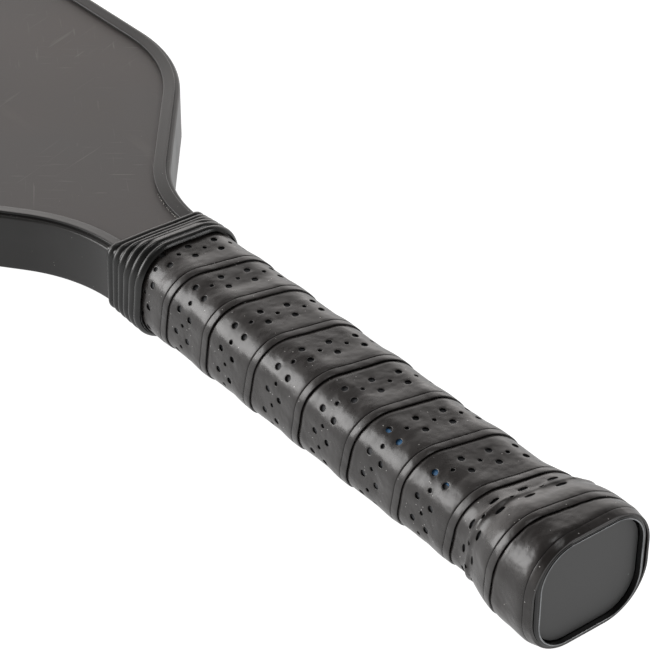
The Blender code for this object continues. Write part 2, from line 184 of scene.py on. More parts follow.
class Nodes:
    """A short way to write a node material."""

    def __init__(self, name):
        """Start a material from its shader and the object's own space."""
        self.mat = bpy.data.materials.new(name)
        self.mat.use_nodes = True
        self.tree = self.mat.node_tree
        self.shader = self.tree.nodes["Principled BSDF"]
        self.place = self.add("ShaderNodeTexCoord").outputs["Object"]

    def add(self, kind, links=None, **values):
        """Add a node, set its properties or inputs, and link its inputs."""
        node = self.tree.nodes.new(kind)
        for key, value in values.items():
            if hasattr(node, key):
                setattr(node, key, value)
            else:
                node.inputs[key.replace("_", " ")].default_value = value
        for key, source in (links or {}).items():
            self.tree.links.new(source, node.inputs[key])
        return node

    def link(self, source, target):
        """Link a source to a named input of the shader."""
        self.tree.links.new(source, self.shader.inputs[target])

    def noise(self, scale, detail=4.0, rough=0.55, stretch=None):
        """Noise over the object's own space, optionally stretched."""
        place = self.place
        if stretch:
            mapping = self.add("ShaderNodeMapping", {"Vector": place})
            mapping.inputs["Scale"].default_value = stretch
            place = mapping.outputs["Vector"]
        node = self.add("ShaderNodeTexNoise", {"Vector": place}, Scale=scale, Detail=detail,
                        Roughness=rough)
        return node.outputs["Fac"]

    def ramp(self, source, low, high, first, last):
        """Map a range of a value linearly on to another range."""
        node = self.add("ShaderNodeMapRange", {"Value": source})
        node.inputs["From Min"].default_value = low
        node.inputs["From Max"].default_value = high
        node.inputs["To Min"].default_value = first
        node.inputs["To Max"].default_value = last
        return node.outputs["Result"]

    def mix(self, factor, first, last):
        """Mix two colours, each a colour or a socket."""
        node = self.add("ShaderNodeMix", data_type="RGBA")
        self.tree.links.new(factor, node.inputs[0])
        for index, value in ((6, first), (7, last)):
            if isinstance(value, tuple):
                node.inputs[index].default_value = (*value, 1.0)
            else:
                self.tree.links.new(value, node.inputs[index])
        return node.outputs[2]

    def math(self, operation, first, second):
        """Combine two values."""
        node = self.add("ShaderNodeMath", operation=operation)
        for index, value in enumerate((first, second)):
            if isinstance(value, float):
                node.inputs[index].default_value = value
            else:
                self.tree.links.new(value, node.inputs[index])
        return node.outputs[0]

    def bump(self, height, distance, strength=1.0, under=None):
        """Bump from a height value."""
        node = self.add("ShaderNodeBump", {"Height": height}, Strength=strength, Distance=distance)
        if under:
            self.tree.links.new(under, node.inputs["Normal"])
        return node.outputs["Normal"]

    def scratches(self, turn, scale):
        """Noise drawn out into thin streaks that run one way."""
        turned = self.add("ShaderNodeMapping", {"Vector": self.place})
        turned.inputs["Rotation"].default_value = (0.0, 0.0, turn)
        drawn = self.add("ShaderNodeMapping", {"Vector": turned.outputs["Vector"]})
        drawn.inputs["Scale"].default_value = (22.0, 1.0, 1.0)
        node = self.add("ShaderNodeTexNoise", {"Vector": drawn.outputs["Vector"]}, Scale=scale,
                        Detail=1.0, Distortion=0.6)
        return node.outputs["Fac"]

    def specks(self, scale, size, density):
        """Scattered round specks: 1 inside a speck and 0 outside."""
        cells = self.add("ShaderNodeTexVoronoi", {"Vector": self.place}, Scale=scale)
        near = self.ramp(cells.outputs["Distance"], size * 0.6, size, 1.0, 0.0)
        pick = self.add("ShaderNodeSeparateColor", {"Color": cells.outputs["Color"]})
        chosen = self.math("LESS_THAN", pick.outputs[0], density)
        return self.math("MULTIPLY", near, chosen)


def face_material():
    """Matte warm grey sheet: mottled, finely pitted, with faint scuffs and dust."""
    n = Nodes("face_composite")
    clouds = n.noise(14.0, 5.0)
    grain = n.noise(900.0, 3.0)
    scuffs = n.noise(60.0, 6.0, 0.6, (1.0, 0.16, 1.0))
    base = n.mix(n.ramp(clouds, 0.35, 0.65, 0.0, 1.0), (0.074, 0.066, 0.0635), (0.087, 0.083, 0.082))
    worn = n.mix(n.ramp(scuffs, 0.62, 0.78, 0.0, 0.45), base, (0.125, 0.116, 0.110))
    patches = n.ramp(n.noise(9.0, 3.0, 0.5), 0.45, 0.62, 0.0, 0.45)
    worn = n.mix(patches, worn, (0.090, 0.074, 0.066))
    fading = n.ramp(n.noise(30.0, 1.0), 0.48, 0.62, 0.0, 1.0)
    for turn, scale, strength in ((0.5, 47.0, 0.30), (-0.9, 61.0, 0.36), (1.2, 39.0, 0.22)):
        lines = n.ramp(n.scratches(turn, scale), 0.70, 0.76, 0.0, strength)
        worn = n.mix(n.math("MULTIPLY", lines, fading), worn, (0.24, 0.23, 0.22))
    dusty = n.mix(n.specks(900.0, 0.14, 0.010), worn, (0.20, 0.19, 0.18))
    n.link(dusty, "Base Color")
    n.link(n.ramp(clouds, 0.3, 0.7, 0.50, 0.60), "Roughness")
    n.shader.inputs["Specular IOR Level"].default_value = 0.5
    waves = n.bump(clouds, 0.00025, 0.5)
    n.link(n.bump(grain, 0.00003, 0.6, waves), "Normal")
    return n.mat


def guard_material():
    """Satin black extruded plastic, cloudy in tone, with a fine grain and dust."""
    n = Nodes("guard_plastic")
    cloudy = n.noise(40.0, 4.0)
    grain = n.noise(1500.0, 2.0)
    base = n.mix(n.ramp(cloudy, 0.35, 0.65, 0.0, 1.0), (0.0130, 0.0125, 0.0122), (0.0185, 0.0178, 0.0174))
    dusty = n.mix(n.specks(1000.0, 0.16, 0.022), base, (0.20, 0.19, 0.18))
    n.link(dusty, "Base Color")
    n.link(n.ramp(cloudy, 0.3, 0.7, 0.30, 0.40), "Roughness")
    n.shader.inputs["Specular IOR Level"].default_value = 0.42
    n.link(n.bump(grain, 0.00002, 0.5), "Normal")
    return n.mat


def wrap_material():
    """Soft black synthetic leather: fine grain, uneven sheen, smears and dust."""
    n = Nodes("wrap_leather")
    smears = n.noise(55.0, 6.0, 0.62)
    folds = n.noise(170.0, 3.0, 0.5)
    grain = n.noise(2600.0, 2.0)
    base = n.mix(n.ramp(smears, 0.32, 0.68, 0.0, 1.0), (0.0180, 0.0158, 0.0150), (0.0270, 0.0242, 0.0230))
    dusty = n.mix(n.specks(800.0, 0.16, 0.075), base, (0.40, 0.39, 0.38))
    n.link(dusty, "Base Color")
    n.link(n.ramp(smears, 0.3, 0.7, 0.22, 0.34), "Roughness")
    dents = n.bump(n.noise(70.0, 3.0, 0.55), 0.0016, 0.5)
    soft = n.bump(folds, 0.00035, 0.5, dents)
    n.link(n.bump(grain, 0.00003, 0.5, soft), "Normal")
    return n.mat


def rubber_material():
    """Black rubber with a dull skin, mottled in tone, and dust specks."""
    n = Nodes("collar_rubber")
    bloom = n.noise(120.0, 5.0, 0.6)
    grain = n.noise(1800.0, 3.0)
    base = n.mix(n.ramp(bloom, 0.35, 0.7, 0.0, 1.0), (0.0085, 0.0090, 0.0088), (0.019, 0.0195, 0.019))
    dusty = n.mix(n.specks(1000.0, 0.17, 0.03), base, (0.24, 0.24, 0.23))
    n.link(dusty, "Base Color")
    n.link(n.ramp(bloom, 0.3, 0.7, 0.22, 0.34), "Roughness")
    n.link(n.bump(grain, 0.00003, 0.6), "Normal")
    return n.mat


def cap_material():
    """Glossy black moulding with light handling marks."""
    n = Nodes("cap_gloss")
    marks = n.noise(90.0, 5.0, 0.6)
    n.link(n.mix(n.ramp(marks, 0.4, 0.7, 0.0, 1.0), (0.008, 0.008, 0.008), (0.014, 0.014, 0.014)),
           "Base Color")
    n.link(n.ramp(marks, 0.3, 0.7, 0.09, 0.18), "Roughness")
    n.link(n.bump(marks, 0.00005, 0.3), "Normal")
    return n.mat


def bead_highlight_material():
    """The cap's front bead, coloured pale as a painted highlight: a thin bright line of reflected light
    round the rim.
    """
    n = Nodes("cap_bead_painted_highlight")
    marks = n.noise(260.0, 4.0, 0.6)
    # The pale grey base colour is a painted highlight on the bead, mottled by the marks noise.
    n.link(n.mix(n.ramp(marks, 0.3, 0.65, 0.0, 1.0), (0.13, 0.137, 0.145), (0.34, 0.355, 0.37)),
           "Base Color")
    n.link(n.ramp(marks, 0.3, 0.7, 0.08, 0.16), "Roughness")
    n.shader.inputs["Specular IOR Level"].default_value = 0.9
    return n.mat


def plate_material():
    """Matte dark grey plate with fine pits and a few specks."""
    n = Nodes("plate_matte")
    clouds = n.noise(70.0, 4.0)
    grain = n.noise(1700.0, 2.0)
    base = n.mix(n.ramp(clouds, 0.3, 0.7, 0.0, 1.0), (0.056, 0.057, 0.057), (0.066, 0.067, 0.067))
    dusted = n.mix(n.specks(900.0, 0.15, 0.015), base, (0.22, 0.22, 0.22))
    n.link(n.mix(n.specks(330.0, 0.17, 0.02), dusted, (0.20, 0.205, 0.21)), "Base Color")
    n.link(n.ramp(clouds, 0.3, 0.7, 0.46, 0.54), "Roughness")
    n.link(n.bump(grain, 0.00002, 0.4), "Normal")
    return n.mat


def plain_material(name, dark, light, rough, scale, depth):
    """A cloudy two-tone material with a fine bump, for pieces inside or under others."""
    n = Nodes(name)
    clouds = n.noise(scale, 4.0)
    n.link(n.mix(n.ramp(clouds, 0.3, 0.7, 0.0, 1.0), dark, light), "Base Color")
    n.link(n.ramp(clouds, 0.3, 0.7, rough - 0.05, rough + 0.05), "Roughness")
    n.link(n.bump(n.noise(scale * 12, 2.0), depth, 0.6), "Normal")
    return n.mat


# Outline of the head


def arc_points(centre, radius, start, end, outward):
    """Points on an arc with outward normals; outward is -1 on a concave stretch."""
    count = max(2, ceil(abs(end - start) / ARC_STEP))
    points = []
    for index in range(count + 1):
        angle = start + (end - start) * index / count
        normal = (cos(angle), sin(angle))
        place = (centre[0] + radius * normal[0], centre[1] + radius * normal[1])
        points.append((*place, outward * normal[0], outward * normal[1]))
    return points


def straight_points(first, last, normal):
    """Points between two ends of a straight stretch, without the ends."""
    length = sqrt((last[0] - first[0]) ** 2 + (last[1] - first[1]) ** 2)
    count = max(1, ceil(length / STRAIGHT_STEP))
    return [
        (first[0] + (last[0] - first[0]) * k / count, first[1] + (last[1] - first[1]) * k / count,
         *normal)
        for k in range(1, count)
    ]


def half_outline():
    """The right half of the outline as (x, y, normal x, normal y), neck to head end."""
    slope = tan(THROAT_ANGLE)
    half_turn = tan(THROAT_ANGLE / 2)
    shoulder_y = THROAT_Y + (HEAD_HALF_WIDTH - NECK_HALF_WIDTH) / slope
    throat = (NECK_HALF_WIDTH + THROAT_RADIUS, THROAT_Y - THROAT_RADIUS * half_turn)
    shoulder = (HEAD_HALF_WIDTH - SHOULDER_RADIUS, shoulder_y + SHOULDER_RADIUS * half_turn)
    end = (0.0, LENGTH - END_RADIUS)
    inset = HEAD_HALF_WIDTH - CORNER_RADIUS
    rise = sqrt((END_RADIUS - CORNER_RADIUS) ** 2 - inset ** 2)
    corner = (inset, end[1] + rise)
    corner_turn = atan2(rise, inset)
    arcs = [
        [(NECK_HALF_WIDTH, GUARD_START, 1.0, 0.0)],
        arc_points(throat, THROAT_RADIUS, pi, pi - THROAT_ANGLE, -1),
        arc_points(shoulder, SHOULDER_RADIUS, -THROAT_ANGLE, 0.0, 1),
        arc_points(corner, CORNER_RADIUS, 0.0, corner_turn, 1),
        arc_points(end, END_RADIUS, corner_turn, pi / 2, 1)[1:],
    ]
    points = list(arcs[0])
    for arc in arcs[1:]:
        first, last = points[-1], arc[0]
        points += straight_points(first[:2], last[:2], last[2:])
        points += arc
    return points


def full_outline():
    """The whole outline from the right neck round the head to the left neck."""
    right = half_outline()
    left = [(-x, y, -nx, ny) for x, y, nx, ny in reversed(right[:-1])]
    return np.array(right + left)


def sweep(name, path, section):
    """A closed (inset, height) section swept along an open outline, with flat ends."""
    count = len(section)
    verts = []
    for x, y, nx, ny in path:
        for inset, z in section:
            verts.append((x - inset * nx, y - inset * ny + BUTT_Y, z))
    faces = []
    for ring in range(len(path) - 1):
        for k in range(count):
            a = ring * count + k
            b = ring * count + (k + 1) % count
            faces.append((a, b, b + count, a + count))
    faces.append(tuple(reversed(range(count))))
    faces.append(tuple(range((len(path) - 1) * count, len(path) * count)))
    return mesh_from(name, verts, faces)


def fix_normals(mesh):
    """Turn all faces outwards."""
    work = bmesh.new()
    work.from_mesh(mesh)
    bmesh.ops.recalc_face_normals(work, faces=work.faces)
    work.to_mesh(mesh)
    work.free()
    return mesh


def arc_profile(centre, radius, start, end, steps):
    """Points on a small arc in a section, angles in degrees."""
    return [
        (centre[0] + radius * cos(radians(start + (end - start) * k / steps)),
         centre[1] + radius * sin(radians(start + (end - start) * k / steps)))
        for k in range(steps + 1)
    ]


def build_guard():
    """The U-shaped guard: a raised lip, a low ledge and a rounded outer corner."""
    lip_under = SHEET_TOP + 0.0003
    lip_top = GUARD_HALF + 0.00002
    ledge = GUARD_HALF - 0.00045
    upper = [(0.0020, lip_under), (LIP_WIDTH, lip_under)]
    upper += arc_profile((LIP_WIDTH - 0.0004, lip_top - 0.0004), 0.0004, 0, 90, 4)
    upper += [(0.0048, lip_top + 0.00008), (0.0038, lip_top + 0.00020), (0.0028, lip_top + 0.00034)]
    upper += arc_profile((0.0017 + 0.00030, lip_top + 0.00016), 0.00030, 80, 180, 4)
    upper += [(0.0017, ledge), (0.0012, ledge)]
    upper += arc_profile((GUARD_CORNER, ledge + 0.00004 - GUARD_CORNER), GUARD_CORNER, 90, 180, 6)
    upper += [(0.0, GUARD_HALF - 0.0026)]
    section = upper + [(x, -z) for x, z in reversed(upper)]
    mesh = fix_normals(sweep("edge_guard_shell", full_outline(), section))
    guard = add_object("edge_guard_shell", mesh, guard_material(), 55)
    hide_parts("edge_guard")


def build_glue():
    """A thin squeezed-out glue line where the lip meets the face beside the neck."""
    path = full_outline()
    runs = {"glue_line_right": [p for p in path if p[0] > 0 and p[1] < GLUE_END],
            "glue_line_left": [p for p in path if p[0] < 0 and p[1] < GLUE_END]}
    for name, run in runs.items():
        verts = []
        fine = []
        for first, last in zip(run, run[1:]):
            fine += [first + (last - first) * k / 6 for k in range(6)]
        for x, y, nx, ny in fine:
            wobble = noise.noise(Vector((x * 900, y * 900, 3.0)))
            radius = 0.00022 + 0.00016 * wobble
            for k in range(GLUE_SIDES):
                angle = 2 * pi * k / GLUE_SIDES
                inset = LIP_WIDTH + 0.00012 + radius * cos(angle)
                z = SHEET_TOP + 0.00012 + radius * sin(angle)
                verts.append((x - inset * nx, y - inset * ny + BUTT_Y, z))
        faces = []
        for ring in range(len(fine) - 1):
            for k in range(GLUE_SIDES):
                a = ring * GLUE_SIDES + k
                b = ring * GLUE_SIDES + (k + 1) % GLUE_SIDES
                faces.append((a, b, b + GLUE_SIDES, a + GLUE_SIDES))
        faces.append(tuple(range(GLUE_SIDES)))
        faces.append(tuple(range(len(verts) - GLUE_SIDES, len(verts))))
        n = Nodes(name + "_resin")
        beads = n.noise(1500.0, 2.0)
        n.link(n.mix(n.ramp(beads, 0.50, 0.60, 0.0, 1.0), (0.012, 0.012, 0.012), (0.42, 0.40, 0.37)),
               "Base Color")
        n.shader.inputs["Roughness"].default_value = 0.18
        add_object(name, fix_normals(mesh_from(name, verts, faces)), n.mat)


# Handle surface


def smooth(value):
    """Smooth step from 0 to 1."""
    value = np.clip(value, 0.0, 1.0)
    return value * value * (3 - 2 * value)


def handle_size(y):
    """Half width, half height and corner radius of the wrapped handle at a height."""
    grow = FLARE * smooth((FLARE_END - y) / (FLARE_END - FLARE_FULL))
    height = GRIP_HALF_BUTT + (GRIP_HALF_NECK - GRIP_HALF_BUTT) * y / GRIP_END
    return GRIP_HALF_WIDTH + grow, height + grow, GRIP_CORNER + grow


def section_points(turn, size, lift):
    """Points on a rounded section: turn goes from +X over +Z, lift is how far they stand out."""
    width, height, corner = size
    flat_x = width - corner
    flat_z = height - corner
    bend = corner * pi / 2
    quarter_length = flat_x + flat_z + bend
    share = (turn % 1.0) * 4
    quarter = np.floor(share)
    along = (share - quarter) * quarter_length
    along = np.where(quarter % 2 == 1, quarter_length - along, along)
    angle = np.clip((along - flat_z) / corner, 0.0, pi / 2)
    radius = corner + lift
    x = flat_x + radius * np.cos(angle) - np.clip(along - flat_z - bend, 0.0, None)
    z = np.minimum(along, flat_z) + radius * np.sin(angle)
    x = np.where((quarter == 0) | (quarter == 3), x, -x)
    z = np.where(quarter < 2, z, -z)
    return x, z


def handle_points(turn, y, lift):
    """Points over the handle's surface in the model's frame."""
    x, z = section_points(turn, handle_size(y), lift)
    return np.stack([x, y + BUTT_Y, z], -1)


def tube_mesh(name, rings):
    """A closed tube from rings of points, the last ring joined to the first."""
    count = len(rings[0])
    verts = np.concatenate(rings)
    faces = []
    for ring in range(len(rings)):
        after = (ring + 1) % len(rings)
        for k in range(count):
            b = (k + 1) % count
            faces.append((ring * count + k, ring * count + b, after * count + b, after * count + k))
    return fix_normals(mesh_from(name, verts, faces))


# Wrap


def tape_edge(turns):
    """Height of the tape's butt-side edge after a number of turns, eased at the knots."""
    spread = np.linspace(-0.06, 0.06, 7)
    return np.mean([np.interp(turns + d, EDGE_TURNS, EDGE_HEIGHTS) for d in spread], axis=0)


def tape_lift(across):
    """How far the tape stands out, by distance from its butt-side edge."""
    edge = 0.00044 + 0.00008 * np.sqrt(np.clip(across / 0.00018, 0.0, 1.0))
    rise = 0.00004 * smooth(across / 0.0022)
    crease = -0.00024 * np.exp(-((across - 0.00255) / 0.00010) ** 2)
    fall = -0.00046 * smooth((across - 0.0034) / 0.0075)
    return edge + rise + crease + fall - 0.00022


def lines_with(marks, step):
    """Grid lines through the marks, with extra lines no further apart than the step."""
    lines = [marks[0]]
    for first, last in zip(marks, marks[1:]):
        count = max(1, ceil((last - first) / step - 1e-6))
        lines += [first + (last - first) * k / count for k in range(1, count + 1)]
    return lines


def block_loop(columns, rows, height):
    """Grid vertices round a block, in order."""
    (c0, c1), (r0, r1) = columns, rows
    loop = [(c, r0) for c in range(c0, c1)] + [(c1, r) for r in range(r0, r1)]
    loop += [(c, r1) for c in range(c1, c0, -1)] + [(c0, r) for r in range(r1, r0, -1)]
    return [c * height + r for c, r in loop]


def flat_tape(periods):
    """The perforated tape laid flat: places along and across, drop at hole edges, and faces."""
    block, small = HOLE_BLOCK_HALF, SMALL_HOLE_BLOCK_HALF
    near_row, middle_row, far_row = HOLE_ROWS
    across = lines_with([*TAPE_EDGE_LINES, 0.0042, near_row - block], 0.0013)
    across += lines_with([near_row - block, near_row + block], 0.00095)[1:]
    across += [middle_row, far_row - block]
    across += lines_with([far_row - block, far_row + block], 0.00095)[1:]
    across += lines_with([far_row + block, TAPE_WIDTH], 0.0013)[1:]
    across = np.array(across)
    near = int(np.argmin(abs(across - near_row)))
    middle = int(np.argmin(abs(across - middle_row)))
    far = int(np.argmin(abs(across - far_row)))
    half = HOLE_PERIOD / 2
    steps = [-block, -0.00095, 0.0, 0.00095, block, 0.00265, half - small, half,
             half + small, HOLE_PERIOD - 0.00265]
    columns = len(steps)
    along = np.concatenate([np.array(steps) + HOLE_PERIOD * k for k in range(periods)])
    along = np.append(along, HOLE_PERIOD * periods + steps[0])
    rows = len(across)
    place_u = np.repeat(along, rows)
    place_w = np.tile(across, len(along))
    extra_u, extra_w, extra_drop = [], [], []
    faces = []
    blocked = set()

    def punch(column, row, reach, radius):
        """Replace a block of the grid with rings round a hole."""
        centre_u, centre_w = along[column], across[row]
        stretch = 1.0 + 0.45 * float(1.0 - smooth((centre_u - 0.085) / 0.020)) * (reach == 2)
        loop = block_loop((column - reach, column + reach), (row - reach, row + reach), rows)
        for c in range(column - reach, column + reach):
            for r in range(row - reach, row + reach):
                blocked.add((c, r))
        for size, drop in ((radius + 0.00030, 0.0), (radius + 0.00008, 0.00004), (radius, 0.00013)):
            start = len(place_u) + len(extra_u)
            ring = []
            for vertex in loop[:]:
                u = place_u[vertex] if vertex < len(place_u) else extra_u[vertex - len(place_u)]
                w = place_w[vertex] if vertex < len(place_u) else extra_w[vertex - len(place_u)]
                angle = atan2(w - centre_w, u - centre_u)
                extra_u.append(centre_u + (size + (stretch - 1.0) * radius) * cos(angle))
                extra_w.append(centre_w + size * (1.56 - 0.56 * stretch) * sin(angle))
                extra_drop.append(drop)
                ring.append(start + len(ring))
            for k in range(len(loop)):
                after = (k + 1) % len(loop)
                faces.append((loop[k], ring[k], ring[after], loop[after]))
            loop = ring

    for period in range(periods):
        first = period * columns
        punch(first + 2, near, 2, HOLE_RADIUS)
        punch(first + 2, far, 2, HOLE_RADIUS)
        punch(first + 7, middle, 1, SMALL_HOLE_RADIUS)
    for c in range(len(along) - 1):
        for r in range(rows - 1):
            if (c, r) not in blocked:
                a = c * rows + r
                faces.append((a, a + 1, a + rows + 1, a + rows))
    place_u = np.concatenate([place_u, extra_u])
    place_w = np.concatenate([place_w, extra_w])
    drop = np.concatenate([np.zeros(len(along) * rows), extra_drop])
    return place_u, place_w, drop, faces


def soft_noise(points, scale, seed):
    """Smooth noise at each point."""
    return np.array([noise.noise(Vector(p) * scale + Vector((seed, 0.0, 0.0))) for p in points])


def trim_along(mesh, low, high):
    """Cut a mesh off below and above two heights."""
    work = bmesh.new()
    work.from_mesh(mesh)
    for level, normal in ((low, (0.0, -1.0, 0.0)), (high, (0.0, 1.0, 0.0))):
        geometry = work.verts[:] + work.edges[:] + work.faces[:]
        bmesh.ops.bisect_plane(work, geom=geometry, plane_co=(0.0, level + BUTT_Y, 0.0),
                               plane_no=normal, clear_outer=True)
    work.to_mesh(mesh)
    work.free()


def thicken(item, thickness):
    """Give a sheet its thickness inwards and keep the result in its mesh."""
    solid = item.modifiers.new("thickness", "SOLIDIFY")
    solid.thickness = thickness
    solid.offset = -1.0
    solid.use_even_offset = False
    bpy.context.view_layer.update()
    evaluated = item.evaluated_get(bpy.context.evaluated_depsgraph_get())
    mesh = bpy.data.meshes.new_from_object(evaluated)
    item.modifiers.clear()
    item.data = mesh


def butt_curl(level):
    """How far the first turn curls inwards towards the rim."""
    return 0.0008 * (1.0 - smooth(level / 0.0048))


def build_wrap(mat):
    """The perforated tape wound from the butt to the collar, over a plain first turn."""
    periods = int((WRAP_LAST_TURN - TAPE_START_TURN) * WRAP_GIRTH / cos(TAPE_SLOPE) / HOLE_PERIOD)
    along, across, drop, faces = flat_tape(periods)
    edge_turn = TAPE_START_TURN + (along * cos(TAPE_SLOPE)) / WRAP_GIRTH
    edge_turn = edge_turn + 0.027 * (1.0 - smooth((edge_turn - 1.5) / 0.6))
    turn = edge_turn - across * sin(TAPE_SLOPE) / WRAP_GIRTH
    flared = 1.0 - smooth((edge_turn - 1.75) / 0.30)
    squeeze = 0.0005 * smooth(across / 0.0099) - 0.0015 * smooth((across - 0.0090) / 0.0075)
    y = tape_edge(edge_turn) + across * cos(TAPE_SLOPE) + flared * squeeze
    covered = smooth((y - tape_edge(turn + 1.0) + 0.0003) / 0.0008)
    flat = handle_points(turn, y, 0.0)
    ripple = 0.00030 * soft_noise(flat, 60.0, 1.0) + 0.00008 * soft_noise(flat, 260.0, 7.0)
    folds = soft_noise(np.stack([turn * 9.0, y * 260.0 + turn * 14.0, 0 * y], -1), 1.0, 5.0)
    near_fold = np.exp(-((across - 0.0126) / 0.0030) ** 2)
    ridge = 0.00050 * np.exp(-((across - 0.0126) / 0.0009) ** 2)
    pinch = flared * (ridge + near_fold * folds * 0.00070)
    lift = tape_lift(across) - drop - 0.00058 * covered + ripple + pinch
    mesh = mesh_from("grip_tape", handle_points(turn, y, lift), faces)
    trim_along(mesh, WRAP_START, WRAP_STOP)
    tape = add_object("grip_tape", mesh, mat, 60)
    thicken(tape, TAPE_THICKNESS)
    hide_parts("grip_wrap")

    turns = np.linspace(0.0, 1.0, 181)[:-1]
    heights = lines_with([*TAPE_EDGE_LINES, 0.0250], 0.0009)
    rings = []
    for height in heights:
        level = np.full_like(turns, WRAP_START + height)
        nearest = np.where(turns > 0.03, tape_edge(turns + 1.0), tape_edge(turns + 2.0))
        under = smooth((level - nearest + 0.0003) / 0.0008)
        shape = tape_lift(np.full_like(turns, height)) - 0.00062 * under - butt_curl(level)
        ripple = 0.00010 * soft_noise(handle_points(turns, level, 0.0), 120.0, 2.0)
        rings.append(handle_points(turns, level, shape + ripple))
    for height in reversed(heights):
        level = np.full_like(turns, WRAP_START + height)
        inside = -0.0005 - 0.0004 * smooth(level / 0.006)
        rings.append(handle_points(turns, level, inside - butt_curl(level)))
    first = add_object("grip_tape_first_turn", tube_mesh("grip_tape_first_turn", rings), mat)
    return tape, first


def build_backing():
    """The felt backing drawn up close under the tape, so that the holes look shallow."""
    turns = np.linspace(0.0, 1.0, 121)[:-1]
    heights = np.linspace(FELT_START, WRAP_STOP, 60)
    rings = []
    for height in heights:
        level = np.full_like(turns, height)
        nap = 0.00004 * soft_noise(handle_points(turns, level, 0.0), 700.0, 9.0)
        rings.append(handle_points(turns, level, nap - FELT_DEPTHS[0]))
    for height in reversed(heights):
        level = np.full_like(turns, height)
        rings.append(handle_points(turns, level, np.full_like(turns, -FELT_DEPTHS[1])))
    felt = plain_material("backing_felt", (0.030, 0.032, 0.035), (0.060, 0.062, 0.066), 0.7, 900.0,
                          0.00005)
    mesh = tube_mesh("grip_backing_felt", rings)
    backing = add_object("grip_backing_felt", mesh, felt)
    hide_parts("grip_backing")


def build_liner():
    """Blue backing film left between tape and felt, seen through a few holes."""
    turns = 0.25 + np.linspace(*LINER_REACH, 7) / WRAP_GIRTH
    verts, faces = [], []
    for height in np.linspace(*LINER_HEIGHTS, 24):
        level = np.full_like(turns, height)
        for depth in LINER_DEPTHS:
            verts.append(handle_points(turns, level, np.full_like(turns, -depth)))
    rows = len(verts)
    count = len(turns)
    points = np.concatenate(verts)
    step = 2 * count
    for row in range(0, rows - 2, 2):
        for k in range(count - 1):
            top, low = row * count + k, (row + 1) * count + k
            faces.append((top, top + 1, top + 1 + step, top + step))
            faces.append((low, low + step, low + 1 + step, low + 1))
        for k in (0, count - 1):
            top, low = row * count + k, (row + 1) * count + k
            faces.append((top, top + step, low + step, low))
    for row in (0, rows - 2):
        for k in range(count - 1):
            top, low = row * count + k, (row + 1) * count + k
            faces.append((top, top + 1, low + 1, low))
    mesh = fix_normals(mesh_from("liner_film", points, faces))
    mat = plain_material("liner_blue", (0.035, 0.12, 0.26), (0.05, 0.17, 0.34), 0.35, 200.0, 0.00002)
    add_object("liner_film", mesh, mat)


# Collar


def build_collar():
    """The stretched rubber collar, ribbed round its outside and shorter at its lower left."""
    steps = COLLAR_RIBS * 12
    turns = np.linspace(0.0, 1.0, 161)[:-1]
    grip = np.array([0.0190, 0.0169, 0.0122])
    head = np.array([NECK_HALF_WIDTH + 0.0012, GUARD_HALF + 0.0014, 0.0032])
    inner_grip = np.array([0.0182, 0.0161, 0.0116])
    inner_head = np.array([NECK_HALF_WIDTH + 0.0002, GUARD_HALF + 0.0004, 0.0006])
    crowding = CROWDING * smooth(1.0 - np.abs(turns - CROWDED_TURN) / CROWDED_SPREAD)
    outer = []
    for step in range(steps + 1):
        share = step / steps
        y = COLLAR_BUTT + (COLLAR_HEAD - COLLAR_BUTT) * share
        bend = float(smooth((share - 0.10) / 0.98))
        size = grip + (head - grip) * bend
        rib = abs(sin(pi * COLLAR_RIBS * share)) ** 0.8
        level = np.full_like(turns, y)
        x, z = section_points(turns, tuple(size), rib * RIB_HEIGHT - RIB_SINK)
        wave = 0.0005 * soft_noise(np.stack([x, level * 0.2, z], -1), 60.0, 4.0)
        outer.append(np.stack([x, level + BUTT_Y + wave + crowding * (1.0 - share), z], -1))
    inner = []
    for step in range(9):
        share = step / 8
        y = COLLAR_BUTT + (COLLAR_HEAD - COLLAR_BUTT) * share
        size = inner_grip + (inner_head - inner_grip) * float(smooth((share - 0.28) / 0.72))
        x, z = section_points(turns, tuple(size), 0.0)
        inner.append(np.stack([x, y + BUTT_Y + crowding * (1.0 - share), z], -1))
    mesh = tube_mesh("rubber_collar_ribbed", outer + inner[::-1])
    collar = add_object("rubber_collar_ribbed", mesh, rubber_material(), 50)
    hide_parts("rubber_collar")


# Butt


def build_cap():
    """The glossy rim that stands proud round the recessed plate."""
    turns = np.linspace(0.0, 1.0, 181)[:-1]
    inner = (PLATE_HALF_WIDTH + 0.0003, PLATE_HALF + 0.0003, 0.0105)
    outer = (RIM_HALF_WIDTH - 0.0005, RIM_HALF - 0.0005, 0.0120)
    rings = []
    profile = [(0.0, PLATE_FRONT + 0.0020), (0.0, 0.0004)]
    profile += [(0.17 - 0.17 * cos(radians(a)), 0.00036 * (1 - sin(radians(a)))) for a in range(15, 151, 15)]
    profile += [(0.37, 0.00030)]
    profile += [(0.44 + 0.56 * sin(radians(a)), 0.00032 + 0.0009 * (1 - cos(radians(a))))
                for a in range(0, 91, 10)]
    profile += [(0.97, WRAP_START + 0.0009), (0.45, WRAP_START + 0.0011)]
    profile += [(0.40, PLATE_FRONT + 0.0020)]
    for share, y in profile:
        size = tuple(a + (b - a) * share for a, b in zip(inner, outer))
        x, z = section_points(turns, size, 0.0)
        rings.append(np.stack([x, np.full_like(turns, y + BUTT_Y), z], -1))
    cap = add_object("butt_cap_rim", tube_mesh("butt_cap_rim", rings), cap_material(), 35)
    # Faces at the very front of the bead take the pale painted-highlight material; the rest of the rim stays
    # glossy black.
    cap.data.materials.append(bead_highlight_material())
    for face in cap.data.polygons:
        face.material_index = int(face.center.y < BUTT_Y + 0.00012)
    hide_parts("butt_cap")


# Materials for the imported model's own nodes


